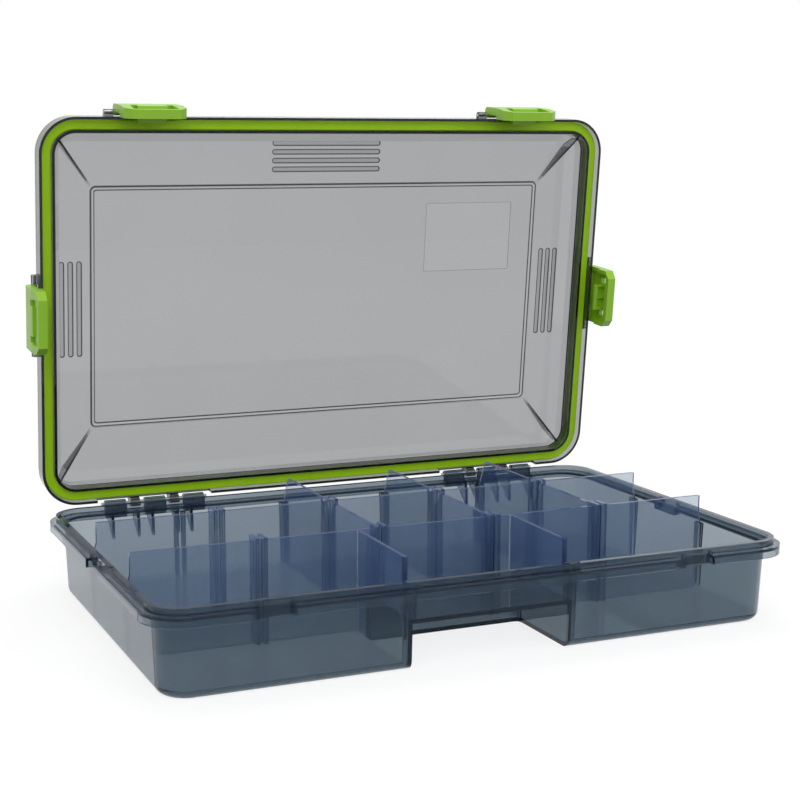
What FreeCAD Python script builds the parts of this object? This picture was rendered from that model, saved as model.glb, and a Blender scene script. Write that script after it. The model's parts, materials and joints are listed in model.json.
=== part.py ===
"""Waterproof lure box: a clear tray with a hinged lid, four side latches, a gasket and loose dividers.

Millimetres, +Z up. The origin is the centre of the tray's underside, X runs along the box and
+Y points to the hinge. Each size is written once in the sheet, and every fit is tied to the piece
that it fits by a named clearance.
"""
import FreeCAD, Part
import math
import os
import Sketcher
from FreeCAD import Placement, Rotation, Vector

document = FreeCAD.newDocument("lure_box")
sheet = document.addObject("Spreadsheet::Sheet", "sizes")

# Driving dimensions
SIZES = (
    # The box as a whole
    ("box_length", 360.0, "outer length over the flange and the lid's skirt"),
    ("box_depth", 225.0, "outer depth over the flange and the lid's skirt"),
    ("corner_radius", 21.0, "outer corner of the flange and of the skirt"),
    ("draft", 2.5, "slope of the tray's walls, degrees"),
    ("open_angle", 85.0, "how far the lid stands open, degrees"),
    # Tray
    ("tray_wall", 2.0, "side walls"),
    ("tray_floor", 2.0, "floor"),
    ("tray_corner", 17.0, "outer upright corner of the tray, under the flange"),
    ("base_round", 5.0, "round between walls and underside"),
    ("base_bevel", 2.4, "bevel between walls and floor, inside"),
    ("flange_top", 43.0, "height of the flange's upper face"),
    ("flange_height", 5.0, "flange, from its lower edge to its upper face"),
    ("flange_reach", 7.3, "how far the flange stands off the wall"),
    ("flange_skin", 1.8, "plate and down-turned lip of the hollow flange"),
    ("tongue_inset", 3.4, "from the flange's edge to the sealing tongue"),
    ("tongue_width", 3.0, "sealing tongue"),
    ("tongue_height", 3.5, "sealing tongue above the flange"),
    ("stub_width", 1.5, "small ribs that stiffen the tongue"),
    ("stub_reach", 1.0, "how far those ribs stand off the tongue"),
    ("stub_height", 2.2, "those ribs above the flange"),
    # Hand notch in the front of the tray
    ("notch_half_width", 44.4, "half the width of the notch"),
    ("notch_back", 52.5, "from the centre line to the notch's rear wall"),
    ("notch_height", 24.0, "height of the notch"),
    ("notch_round", 3.0, "upright corners inside the notch"),
    # Dividers and their slots
    ("plate", 2.0, "thickness of every divider"),
    ("slot_play", 0.2, "room on each side of a divider in its slot"),
    ("end_play", 0.4, "room between a divider's end and a wall"),
    ("lift_play", 0.3, "room under a divider"),
    ("rib_width", 2.1, "one rib of a slot"),
    ("rib_reach", 4.0, "how far a slot's ribs stand off"),
    ("wall_rib_reach", 2.5, "how far the side walls' ribs stand off"),
    ("slot_pitch", 67.3, "from one slot to the next"),
    ("front_row", 38.5, "long front divider, in front of the centre line"),
    ("rear_row", 29.5, "long rear divider, behind the centre line"),
    ("slot_drop", 2.5, "from the flange's upper face down to the ribs on the tray's walls"),
    ("divider_rise", 13.5, "top edge of the dividers above the flange"),
    ("rib_rise", 1.8, "the dividers' own ribs above their top edge"),
    ("shoulder_rise", 2.5, "where a divider's ends have drawn in, above the flange"),
    ("long_end_inset", 3.4, "upper end of a long divider inside the tray's wall line"),
    ("middle_end_inset", 4.0, "upper end of a middle divider from the long one"),
    ("rear_end_inset", 7.3, "upper end of a rear divider from what holds it"),
    ("front_end_inset", 6.7, "upper end of a front divider from the front wall"),
    ("divider_corner", 4.5, "lower corners of the dividers"),
    ("bead_radius", 1.5, "round bead on a front divider's free edge"),
    # Lid, with heights counted up from its rim
    ("rim_gap", 0.3, "between the flange and the closed skirt"),
    ("skirt_wall", 1.6, "skirt"),
    ("skirt_height", 11.0, "skirt above the rim"),
    ("channel_width", 6.0, "gasket channel"),
    ("channel_depth", 9.0, "gasket channel above the rim"),
    ("lip_wall", 1.6, "inner lip beside the channel"),
    ("lip_setback", 1.4, "lip's edge above the rim"),
    ("lid_wall", 2.0, "crown and panel"),
    ("crown_draft", 8.0, "slope of the crown's sides, degrees"),
    ("crown_height", 19.5, "inside of the panel above the rim"),
    ("crown_bevel", 4.5, "bevel between the crown's sides and the panel, inside"),
    ("panel_end_margin", 33.8, "from the box's end to the raised panel's border"),
    ("panel_side_margin", 41.0, "from the box's front or rear to the raised panel's border"),
    ("panel_corner", 3.2, "corner of the raised panel"),
    ("panel_rise", 0.8, "raised panel"),
    ("panel_slope", 66.0, "slope round the raised panel, degrees from upright"),
    ("grip_width", 2.7, "one grip rib"),
    ("grip_height", 0.7, "one grip rib"),
    ("grip_bevel", 0.8, "cut corners of a grip rib"),
    ("grip_pitch", 5.2, "from one grip rib to the next"),
    ("front_grip_half", 35.0, "half a grip rib on the front margin"),
    ("end_grip_half", 28.0, "half a grip rib on the end margins"),
    ("grip_edge", 9.0, "from the panel's border to the front grip ribs"),
    ("end_grip_edge", 6.7, "from the panel's border to the end grip ribs"),
    ("label_length", 60.0, "flat pad for a label"),
    ("label_depth", 43.0, "flat pad for a label"),
    ("label_end", 47.2, "from the panel's end border to the middle of the label pad"),
    ("label_side", 34.5, "from the panel's front border to the middle of the label pad"),
    ("label_sink", 0.3, "label pad under the panel's face"),
    ("fin_wall", 1.3, "corner gusset fins"),
    ("fin_drop", 11.0, "height of a fin at the corner"),
    ("fin_length", 36.0, "fin from the lip towards the panel's corner"),
    # Gasket
    ("gasket_play", 0.15, "room beside the gasket in its channel"),
    ("gasket_gap", 0.3, "between the tongue and the gasket when closed"),
    ("gasket_bevel", 0.5, "bevelled edges of the gasket's open side"),
    # Hinges
    ("hinge_out", 1.9, "hinge axis behind the skirt's outer face"),
    ("hinge_rise", 2.4, "hinge axis above the closed rim"),
    ("knuckle_radius", 2.4, "hinge knuckles"),
    ("hinge_pin_radius", 1.0, "hinge pins"),
    ("pin_play", 0.05, "radial room of a pin in its bore"),
    ("hinge_x", 112.2, "middle of a hinge from the centre line"),
    ("knuckle_pitch", 12.1, "from one knuckle to the next"),
    ("tray_knuckle", 12.6, "length of the tray's knuckles"),
    ("lid_knuckle", 5.6, "length of the lid's knuckles"),
    ("hinge_cut_half", 35.2, "half the cut in the skirt over a hinge"),
    ("hinge_cut_height", 5.6, "height of that cut above the rim"),
    ("hinge_pin_length", 65.0, "hinge pins"),
    ("gusset_wall", 1.8, "gussets under the tray's knuckles"),
    ("gusset_drop", 11.0, "height of those gussets"),
    ("gusset_toe", 1.0, "upright toe of those gussets, above the flange's lower edge"),
    ("knuckle_rise", 3.0, "straight back of the lid's knuckles above the hinge axis"),
    ("knuckle_inset", 1.0, "their top under the skirt's top"),
    # Latches
    ("latch_x", 118.0, "front latches from the centre line"),
    ("latch_width", 36.0, "latch"),
    ("latch_pivot_out", 1.9, "latch pin outside the skirt"),
    ("latch_pivot_height", 7.5, "latch pin above the rim"),
    ("latch_pin_radius", 0.8, "latch pins"),
    ("barrel_radius", 1.6, "the latch round its pin"),
    ("lug_radius", 1.9, "lugs that hold a latch pin"),
    ("lug_length", 5.3, "lugs along the skirt"),
    ("lug_play", 0.35, "between a latch and its lugs"),
    ("latch_thickness", 6.7, "latch from its inner edge to its outer face"),
    ("latch_length", 27.0, "from the pin to the free end"),
    ("latch_plate", 2.8, "outer plate of the latch"),
    ("latch_side", 2.4, "side walls of the latch"),
    ("latch_end", 3.5, "wall at the free end"),
    ("latch_bend", 14.8, "from the pin to where the outer face begins to draw in"),
    ("latch_taper", 1.5, "how far the outer face draws in at the free end"),
    ("latch_corner", 4.5, "cut corners at the free end"),
    ("latch_round", 3.0, "round over the pin, on the outer face"),
    ("latch_bridge", 1.6, "solid part between the barrel and the hollow"),
    ("dish_place", 21.3, "from the pin to the middle of the finger dish"),
    ("dish_width", 25.8, "finger dish"),
    ("dish_height", 8.1, "finger dish"),
    ("dish_depth", 0.3, "finger dish, deeper than the free end's face"),
    ("hook_width", 16.0, "hook"),
    ("hook_reach", 4.7, "hook inside the skirt's outer face when latched"),
    ("hook_play", 0.3, "between the hook and the flange when latched"),
    ("hook_tip", 2.4, "height of the hook's tip"),
    ("hook_root", 5.6, "height of the hook at its root"),
    ("hook_bevel", 0.6, "bevel over the hook's tip"),
    ("hook_wall", 1.3, "walls of the hook's open underside"),
    ("hook_core", 2.0, "solid nose of the hook before that open side"),
    ("window_gap", 0.6, "from the hook to the windows beside it"),
    ("window_width", 3.6, "windows beside the hook"),
    ("window_lift", 0.8, "windows above the hook's lowest line"),
    ("seat_play", 0.5, "room beside the hook in its seat"),
    ("latch_play", 0.3, "between a shut latch and the flange's edge"),
    ("seat_depth", 3.2, "latch seat in the flange's edge"),
    ("latch_lean", 9.0, "how far a shut latch leans in from square to the rim, degrees"),
)


def fill_sheet():
    """Write one row for each size: its meaning, then its number under its alias."""
    for row, (alias, number, meaning) in enumerate(SIZES, start=1):
        sheet.set(f"A{row}", meaning)
        sheet.set(f"B{row}", str(number))
        sheet.setAlias(f"B{row}", alias)
    document.recompute()


class Size:
    """A number together with the expression on the sheet that gives it."""

    def __init__(self, number, text):
        self.number = number
        self.text = text

    def __add__(self, other):
        other = as_size(other)
        return Size(self.number + other.number, f"({self.text} + {other.text})")

    def __sub__(self, other):
        other = as_size(other)
        return Size(self.number - other.number, f"({self.text} - {other.text})")

    def __mul__(self, other):
        other = as_size(other)
        return Size(self.number * other.number, f"({self.text} * {other.text})")

    def __truediv__(self, other):
        other = as_size(other)
        return Size(self.number / other.number, f"({self.text} / {other.text})")

    def __neg__(self):
        return Size(-self.number, f"(0 - {self.text})")


def as_size(value):
    if isinstance(value, Size):
        return value
    return Size(float(value), f"{float(value):.6f}")


def named(alias):
    return Size(float(sheet.get(alias)), f"sizes.{alias}")


def tangent(angle):
    return Size(math.tan(math.radians(angle.number)), f"tan({angle.text} * 1 deg)")


def sine(angle):
    return Size(math.sin(math.radians(angle.number)), f"sin({angle.text} * 1 deg)")


def cosine(angle):
    return Size(math.cos(math.radians(angle.number)), f"cos({angle.text} * 1 deg)")


def bind(thing, path, size):
    """Tie one property of an object to the sheet."""
    size = as_size(size)
    thing.setExpression(path, size.text)


fill_sheet()
ZERO = as_size(0.0)
# How far a cut or a joined form reaches past the face where it ends
PAST = as_size(1.0)

# Shared places, worked out from the sheet
half_length = named("box_length") / 2
half_depth = named("box_depth") / 2
panel_x = half_length - named("panel_end_margin")
panel_y = half_depth - named("panel_side_margin")
corner = named("corner_radius")
flange_top = named("flange_top")
flange_bottom = flange_top - named("flange_height")
slot_top = flange_top - named("slot_drop")
divider_top = flange_top + named("divider_rise")
shoulder = flange_top + named("shoulder_rise")
tray_floor = named("tray_floor")
slope = tangent(named("draft"))
rim = flange_top + named("rim_gap")
tongue_top = flange_top + named("tongue_height")
hinge_y = half_depth + named("hinge_out")
hinge_z = rim + named("hinge_rise")
slot_gap = named("plate") + named("slot_play") * 2
rib_pair_half = slot_gap / 2 + named("rib_width")
raised_floor = named("notch_height") + tray_floor
lip_outer_inset = named("skirt_wall") + named("channel_width")
lip_inner_inset = lip_outer_inset + named("lip_wall")
latch_out = named("latch_pivot_out")
latch_up = rim + named("latch_pivot_height")
SLOTS = (-1.5, -0.5, 0.5, 1.5)
HINGE_SIDES = (-1, 1)
# Gussets under a hinge, in knuckle pitches from its middle towards the centre line
GUSSETS = (-2.33, -1.05, -0.33, 0.95, 1.65)


def wall_line(half, inset, height):
    """Half the tray's outline at a height, inset from its outer face."""
    return half - named("flange_reach") - inset - (flange_bottom - height) * slope


# Sketches and features
def origin_plane(body, role):
    for feature in body.Origin.OriginFeatures:
        if feature.Role == role:
            return feature
    raise LookupError(role)


def new_sketch(body, name, role="XY_Plane", level=ZERO, shift_x=ZERO, shift_y=ZERO):
    """A sketch parallel to one of the body's own planes, its origin moved in and off that plane."""
    sketch = body.newObject("Sketcher::SketchObject", name)
    sketch.AttachmentSupport = [(origin_plane(body, role), "")]
    sketch.MapMode = "FlatFace"
    bind(sketch, "AttachmentOffset.Base.x", shift_x)
    bind(sketch, "AttachmentOffset.Base.y", shift_y)
    bind(sketch, "AttachmentOffset.Base.z", level)
    return sketch


def constrain(sketch, constraint, size=None):
    """Add a constraint, and tie its value to the sheet when it has one."""
    index = sketch.addConstraint(constraint)
    if size is not None:
        name = f"size_{index}"
        sketch.renameConstraint(index, name)
        bind(sketch, f"Constraints.{name}", size)


def outline_rectangle(sketch, half_x, half_y, radius):
    """A rounded rectangle round the sketch's origin."""
    first = sketch.GeometryCount
    a = half_x.number
    b = half_y.number
    r = radius.number
    ends = (
        ((r - a, -b), (a - r, -b)),
        ((a, r - b), (a, b - r)),
        ((a - r, b), (r - a, b)),
        ((-a, b - r), (-a, r - b)),
    )
    centres = ((a - r, r - b), (a - r, b - r), (r - a, b - r), (r - a, r - b))
    for start, end in ends:
        sketch.addGeometry(Part.LineSegment(Vector(*start, 0), Vector(*end, 0)), False)
    for turn, centre in enumerate(centres):
        circle = Part.Circle(Vector(*centre, 0), Vector(0, 0, 1), r)
        begin = math.pi / 2 * (turn - 1)
        sketch.addGeometry(Part.ArcOfCircle(circle, begin, begin + math.pi / 2), False)
    for side in range(4):
        line = first + side
        arc = first + 4 + side
        after = first + (side + 1) % 4
        constrain(sketch, Sketcher.Constraint("Tangent", line, 2, arc, 1))
        constrain(sketch, Sketcher.Constraint("Tangent", arc, 2, after, 1))
        constrain(sketch, Sketcher.Constraint("Vertical" if side % 2 else "Horizontal", line))
        if side:
            constrain(sketch, Sketcher.Constraint("Equal", first + 4, arc))
    constrain(sketch, Sketcher.Constraint("Radius", first + 4, r), radius)
    constrain(sketch, Sketcher.Constraint("DistanceX", first + 3, 1, first + 1, 1, 2 * a), half_x * 2)
    constrain(sketch, Sketcher.Constraint("DistanceY", first, 1, first + 2, 1, 2 * b), half_y * 2)
    constrain(sketch, Sketcher.Constraint("Symmetric", first + 4, 3, first + 6, 3, -1, 1))


def outline_polygon(sketch, points):
    """A closed polygon, each corner placed from the sketch's origin."""
    first = sketch.GeometryCount
    corners = [(as_size(x), as_size(y)) for x, y in points]
    count = len(corners)
    for index, (x, y) in enumerate(corners):
        next_x, next_y = corners[(index + 1) % count]
        start = Vector(x.number, y.number, 0)
        end = Vector(next_x.number, next_y.number, 0)
        sketch.addGeometry(Part.LineSegment(start, end), False)
    for index, (x, y) in enumerate(corners):
        line = first + index
        constrain(sketch, Sketcher.Constraint("Coincident", line, 2, first + (index + 1) % count, 1))
        place_point(sketch, line, "DistanceX", x, -2)
        place_point(sketch, line, "DistanceY", y, -1)


def place_point(sketch, line, kind, size, axis):
    """Hold a line's start at a signed distance from the origin."""
    if abs(size.number) < 1e-9:
        constrain(sketch, Sketcher.Constraint("PointOnObject", line, 1, axis))
    elif size.number > 0:
        constrain(sketch, Sketcher.Constraint(kind, -1, 1, line, 1, size.number), size)
    else:
        constrain(sketch, Sketcher.Constraint(kind, line, 1, -1, 1, -size.number), -size)


def outline_circle(sketch, radius):
    """A circle round the sketch's origin."""
    first = sketch.GeometryCount
    sketch.addGeometry(Part.Circle(Vector(0, 0, 0), Vector(0, 0, 1), radius.number), False)
    constrain(sketch, Sketcher.Constraint("Coincident", first, 3, -1, 1))
    constrain(sketch, Sketcher.Constraint("Radius", first, radius.number), radius)


def extrude(body, kind, sketch, length, forwards, taper=None):
    """A pad or pocket from a sketch, forwards meaning along the sketch's normal."""
    feature = body.newObject(f"PartDesign::{kind}", f"{kind}_{sketch.Name}")
    feature.Profile = sketch
    feature.Reversed = forwards if kind == "Pocket" else not forwards
    bind(feature, "Length", length)
    if taper is not None:
        bind(feature, "TaperAngle", taper)
    sketch.Visibility = False
    body.Tip = feature
    return feature


def pad(body, sketch, length, forwards=True, taper=None):
    return extrude(body, "Pad", sketch, length, forwards, taper)


def pocket(body, sketch, length, forwards=False, taper=None):
    return extrude(body, "Pocket", sketch, length, forwards, taper)


def dress(body, kind, size, wanted):
    """A fillet or chamfer on every edge of the body that the test wants."""
    document.recompute()
    base = body.Tip
    edges = base.Shape.Edges
    names = [f"Edge{index}" for index, edge in enumerate(edges, start=1) if wanted(edge)]
    if not names:
        raise ValueError(f"no edge for {kind} on {body.Label}")
    feature = body.newObject(f"PartDesign::{kind}", f"{kind}_{body.Label}")
    feature.Base = (base, names)
    bind(feature, "Radius" if kind == "Fillet" else "Size", size)
    body.Tip = feature
    return feature


def flat_at(axis, level, tolerance=0.02):
    """A test for edges that lie wholly at one level of an axis."""
    low, high = f"{axis}Min", f"{axis}Max"

    def wanted(edge):
        box = edge.BoundBox
        return abs(getattr(box, low) - level) < tolerance and abs(getattr(box, high) - level) < tolerance
    return wanted


def new_body(name):
    body = document.addObject("PartDesign::Body", name)
    body.Label = name
    return body


def cut(name, base, tool):
    """One solid less another, under the node's name."""
    result = document.addObject("Part::Cut", name)
    result.Base = base
    result.Tool = tool
    result.Label = name
    result.Refine = True
    return result


def box_points(x0, x1, y0, y1):
    return ((x0, y0), (x1, y0), (x1, y1), (x0, y1))


def bevelled(half_x, half_y, bevel):
    """The corners of a rectangle round the origin with its own corners cut off."""
    x = half_x - bevel
    y = half_y - bevel
    return ((-x, -half_y), (x, -half_y), (half_x, -y), (half_x, y),
            (x, half_y), (-x, half_y), (-half_x, y), (-half_x, -y))


# Stations of the latches: name, turn about Z that points them outwards, and place on the skirt
LATCHES = (
    ("front_left", 2, -named("latch_x"), -half_depth),
    ("front_right", 2, named("latch_x"), -half_depth),
    ("left", 1, -half_length, ZERO),
    ("right", 3, half_length, ZERO),
)
QUARTER_COS = (1, 0, -1, 0)
QUARTER_SIN = (0, 1, 0, -1)
UPRIGHT = Rotation(Vector(1, 1, 1), 120)


def turned(station, along, out):
    """A point given along and outwards from a station, in the box's own X and Y."""
    quarter = station[1]
    x = station[2] + along * QUARTER_COS[quarter] - out * QUARTER_SIN[quarter]
    y = station[3] + along * QUARTER_SIN[quarter] + out * QUARTER_COS[quarter]
    return x, y


def turned_box(station, along0, along1, out0, out1):
    """The corners of a rectangle given along and outwards from a station."""
    corners = box_points(along0, along1, out0, out1)
    return [turned(station, along, out) for along, out in corners]


def upright_sketch(body, name, station, start, out, up):
    """A sketch across a station: its x points outwards, its y up and its normal along the skirt."""
    sketch = body.newObject("Sketcher::SketchObject", name)
    sketch.AttachmentSupport = [(origin_plane(body, "XY_Plane"), "")]
    sketch.MapMode = "FlatFace"
    rotation = Rotation(Vector(0, 0, 1), 90 * station[1]) * UPRIGHT
    sketch.AttachmentOffset = Placement(Vector(0, 0, 0), rotation)
    x, y = turned(station, start, out)
    bind(sketch, "AttachmentOffset.Base.x", x)
    bind(sketch, "AttachmentOffset.Base.y", y)
    bind(sketch, "AttachmentOffset.Base.z", up)
    return sketch


def knuckles(body, owner, length, places, block):
    """Knuckles round the hinge axis, each a round eye on a block that carries it."""
    radius = named("knuckle_radius")
    for side in HINGE_SIDES:
        for place in places:
            start = named("hinge_x") * side + named("knuckle_pitch") * place - length / 2
            tag = f"{owner}_{'left' if side < 0 else 'right'}_{place + 2}"
            carrier = new_sketch(body, f"block_{tag}", "YZ_Plane", start)
            outline_polygon(carrier, block)
            pad(body, carrier, length)
            eye = new_sketch(body, f"eye_{tag}", "YZ_Plane", start, hinge_y, hinge_z)
            outline_circle(eye, radius)
            pad(body, eye, length)


def hinge_bores(body, owner):
    """The pins' bores, right through all knuckles of each hinge."""
    reach = named("knuckle_pitch") * 3
    for side in HINGE_SIDES:
        start = named("hinge_x") * side - reach
        tag = f"bore_{owner}_{'left' if side < 0 else 'right'}"
        bore = new_sketch(body, tag, "YZ_Plane", start, hinge_y, hinge_z)
        outline_circle(bore, named("hinge_pin_radius") + named("pin_play"))
        pocket(body, bore, reach * 2, forwards=True)


# Tray
def tray_outside():
    """The tray's outer form: drafted walls, hollow flange, tongue, hand notch and hinge knuckles."""
    body = new_body("tray_outside")
    walls = new_sketch(body, "wall_line", level=flange_bottom)
    wall_x = wall_line(half_length, ZERO, flange_bottom)
    wall_y = wall_line(half_depth, ZERO, flange_bottom)
    outline_rectangle(walls, wall_x, wall_y, named("tray_corner"))
    pad(body, walls, flange_bottom, forwards=False, taper=-named("draft"))
    dress(body, "Fillet", named("base_round"), flat_at("Z", 0.0))

    flange = new_sketch(body, "flange_line", level=flange_bottom)
    outline_rectangle(flange, half_length, half_depth, corner)
    pad(body, flange, flange_top - flange_bottom)
    inset = named("tongue_inset")
    tongue = new_sketch(body, "tongue_line", level=flange_top)
    outline_rectangle(tongue, half_length - inset, half_depth - inset, corner - inset)
    pad(body, tongue, named("tongue_height"))
    skin = named("flange_skin")
    hollow = new_sketch(body, "flange_hollow", level=flange_bottom)
    outline_rectangle(hollow, half_length - skin, half_depth - skin, corner - skin)
    outline_rectangle(hollow, wall_x, wall_y, named("tray_corner"))
    pocket(body, hollow, flange_top - flange_bottom - skin, forwards=True)

    seat_half = named("hook_width") / 2 + named("seat_play")
    ledges = new_sketch(body, "latch_ledges", level=flange_bottom)
    seats = new_sketch(body, "latch_seats", level=flange_bottom)
    stubs = new_sketch(body, "tongue_stubs", level=flange_top)
    stub_half = named("stub_width") / 2
    outer = named("stub_reach") - inset
    for station in LATCHES:
        ledge_half = seat_half + skin
        reach = -named("flange_reach") - skin / 2
        outline_polygon(ledges, turned_box(station, -ledge_half, ledge_half, reach, ZERO))
        outline_polygon(seats, turned_box(station, -seat_half, seat_half, -named("seat_depth"), skin))
        for end in (-1, 1):
            middle = seat_half * end
            corners = turned_box(station, middle - stub_half, middle + stub_half, -inset - stub_half, outer)
            outline_polygon(stubs, corners)
    for end in (-1, 1):
        place = ("notch", 2, named("notch_half_width") * end, -half_depth)
        outline_polygon(stubs, turned_box(place, -stub_half, stub_half, -inset - stub_half, outer))
    pad(body, ledges, flange_top - flange_bottom)
    pocket(body, seats, flange_top - flange_bottom, forwards=True)
    pad(body, stubs, named("stub_height"))

    radius = named("knuckle_radius")
    block = box_points(half_depth - named("flange_skin") / 2, hinge_y + radius, flange_bottom, hinge_z)
    knuckles(body, "tray", named("tray_knuckle"), (-2, 0, 2), block)
    hinge_gussets(body)
    hinge_bores(body, "tray")

    notch = new_sketch(body, "hand_notch")
    half = named("notch_half_width")
    outline_polygon(notch, box_points(-half, half, -half_depth - PAST, -named("notch_back")))
    pocket(body, notch, named("notch_height"), forwards=True)
    back = -named("notch_back").number

    def notch_corner(edge):
        box = edge.BoundBox
        return box.ZLength > 10 and abs(box.YMax - back) < 0.02 and abs(box.YMin - back) < 0.02
    dress(body, "Fillet", named("notch_round"), notch_corner)
    return body


def hinge_gussets(body):
    """Thin gussets from the rear wall to the tray's knuckles."""
    foot = flange_bottom - named("gusset_drop")
    root = wall_line(half_depth, named("tray_wall") / 2, foot)
    tip = hinge_y + named("knuckle_radius")
    top = flange_top - named("flange_skin") / 2
    profile = ((root, foot), (root + named("tray_wall") / 2, foot), (tip, flange_bottom),
               (tip, flange_bottom + named("gusset_toe")), (root, top))
    for side in HINGE_SIDES:
        for index, place in enumerate(GUSSETS):
            middle = (named("hinge_x") + named("knuckle_pitch") * -place) * side
            tag = f"gusset_{'left' if side < 0 else 'right'}_{index + 1}"
            sketch = new_sketch(body, tag, "YZ_Plane", middle - named("gusset_wall") / 2)
            outline_polygon(sketch, profile)
            pad(body, sketch, named("gusset_wall"))


def tray_inside():
    """The room inside the tray, with the notch's housing and the slots' ribs left standing in it."""
    body = new_body("tray_inside")
    wall = named("tray_wall")
    room = new_sketch(body, "room_line", level=flange_top)
    room_x = wall_line(half_length, wall, flange_top)
    room_y = wall_line(half_depth, wall, flange_top)
    outline_rectangle(room, room_x, room_y, named("tray_corner") - wall)
    pad(body, room, flange_top - tray_floor, forwards=False, taper=-named("draft"))
    dress(body, "Chamfer", named("base_bevel"), flat_at("Z", tray_floor.number))

    inset = named("tongue_inset") + named("tongue_width")
    mouth = new_sketch(body, "mouth_line", level=flange_top)
    outline_rectangle(mouth, half_length - inset, half_depth - inset, corner - inset)
    pad(body, mouth, named("tongue_height") + PAST)

    half = named("notch_half_width") + wall
    housing = new_sketch(body, "notch_housing", level=raised_floor)
    outline_polygon(housing, box_points(-half, half, -half_depth, wall - named("notch_back")))
    pocket(body, housing, raised_floor)

    ribs = new_sketch(body, "slot_ribs", level=slot_top)
    inner_x = wall_line(half_length, wall, slot_top)
    inner_y = wall_line(half_depth, wall, slot_top)
    reach = named("rib_reach")
    side_reach = named("wall_rib_reach")
    rib = named("rib_width")
    for sign in (-1, 1):
        near = (slot_gap / 2) * sign
        far = near + rib * sign
        for slot in SLOTS:
            middle = named("slot_pitch") * slot
            outline_polygon(ribs, box_points(middle + near, middle + far, inner_y - reach, half_depth))
        for end in (-1, 1):
            for row in (-named("front_row"), named("rear_row")):
                edge = (inner_x - side_reach) * end
                outline_polygon(ribs, box_points(edge, half_length * end, row + near, row + far))
            middle = (named("notch_half_width") + wall / 2) * end
            outline_polygon(ribs, box_points(middle + near, middle + far, -half_depth, side_reach - inner_y))
    pocket(body, ribs, slot_top)
    return body


# Lid, drawn closed
def lid_outside():
    """The lid's outer form: skirt, crown, raised panel, grips, latch lugs and hinge knuckles."""
    body = new_body("lid_outside")
    wall = named("lid_wall")
    skirt = new_sketch(body, "skirt_line", level=rim)
    outline_rectangle(skirt, half_length, half_depth, corner)
    pad(body, skirt, named("skirt_height"))
    inset = lip_inner_inset - wall
    crown = new_sketch(body, "crown_line", level=rim + named("channel_depth"))
    outline_rectangle(crown, half_length - inset, half_depth - inset, corner - inset)
    pad(body, crown, named("crown_height") + wall - named("channel_depth"), taper=-named("crown_draft"))
    face = rim + named("crown_height") + wall
    dress(body, "Chamfer", named("crown_bevel") + wall / 2, flat_at("Z", face.number))

    panel = new_sketch(body, "panel_line", level=face)
    outline_rectangle(panel, panel_x, panel_y, named("panel_corner"))
    pad(body, panel, named("panel_rise"), taper=-named("panel_slope"))
    grips(body, face)
    label = new_sketch(body, "label_pad", level=face + named("panel_rise"),
                       shift_x=panel_x - named("label_end"), shift_y=named("label_side") - panel_y)
    half_x = named("label_length") / 2
    half_y = named("label_depth") / 2
    outline_polygon(label, box_points(-half_x, half_x, -half_y, half_y))
    pocket(body, label, named("label_sink"))

    top = rim + named("skirt_height")
    inner = half_depth - named("skirt_wall")
    for side in HINGE_SIDES:
        middle = named("hinge_x") * side
        half = named("hinge_cut_half")
        gap = new_sketch(body, f"hinge_gap_{'left' if side < 0 else 'right'}", level=rim)
        outline_polygon(gap, box_points(middle - half, middle + half, inner, half_depth + PAST))
        pocket(body, gap, named("hinge_cut_height"), forwards=True)
    outer = hinge_y + named("knuckle_radius")
    back = hinge_z + named("knuckle_rise")
    under = top - named("knuckle_inset")
    block = ((inner, hinge_z), (outer, hinge_z), (outer, back), (half_depth, under), (inner, under))
    knuckles(body, "lid", named("lid_knuckle"), (-1, 1), block)
    hinge_bores(body, "lid")
    latch_lugs(body)
    return body


def grips(body, face):
    """Raised finger ribs beside the panel on the front margin and on both ends."""
    half = named("grip_width") / 2
    length = named("grip_height") + PAST
    edge = named("grip_edge")
    for index in range(4):
        y = panel_y + edge + named("grip_pitch") * index
        rib = new_sketch(body, f"front_grip_{index + 1}", level=face - PAST, shift_y=-y)
        outline_polygon(rib, bevelled(named("front_grip_half"), half, named("grip_bevel")))
        pad(body, rib, length)
    for end in (-1, 1):
        for index in range(3):
            x = panel_x + named("end_grip_edge") + named("grip_pitch") * index
            name = f"{'left' if end < 0 else 'right'}_grip_{index + 1}"
            rib = new_sketch(body, name, level=face - PAST, shift_x=x * end)
            outline_polygon(rib, bevelled(half, named("end_grip_half"), named("grip_bevel")))
            pad(body, rib, length)


def latch_lugs(body):
    """Two lugs at each latch, bored for its pin."""
    radius = named("lug_radius")
    gap_half = named("latch_width") / 2 + named("lug_play")
    reach = gap_half + named("lug_length")
    for station in LATCHES:
        tag = station[0]
        foot = upright_sketch(body, f"lug_foot_{tag}", station, -reach, ZERO, latch_up)
        outline_polygon(foot, box_points(-PAST, latch_out, -radius, radius))
        pad(body, foot, reach * 2)
        eye = upright_sketch(body, f"lug_eye_{tag}", station, -reach, latch_out, latch_up)
        outline_circle(eye, radius)
        pad(body, eye, reach * 2)
        gap = new_sketch(body, f"lug_gap_{tag}", level=latch_up - radius - PAST)
        outline_polygon(gap, turned_box(station, -gap_half, gap_half, ZERO, latch_out + radius + PAST))
        pocket(body, gap, (radius + PAST) * 2, forwards=True)
        bore = upright_sketch(body, f"lug_bore_{tag}", station, -reach - PAST, latch_out, latch_up)
        outline_circle(bore, named("latch_pin_radius") + named("pin_play"))
        pocket(body, bore, (reach + PAST) * 2, forwards=True)


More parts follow.
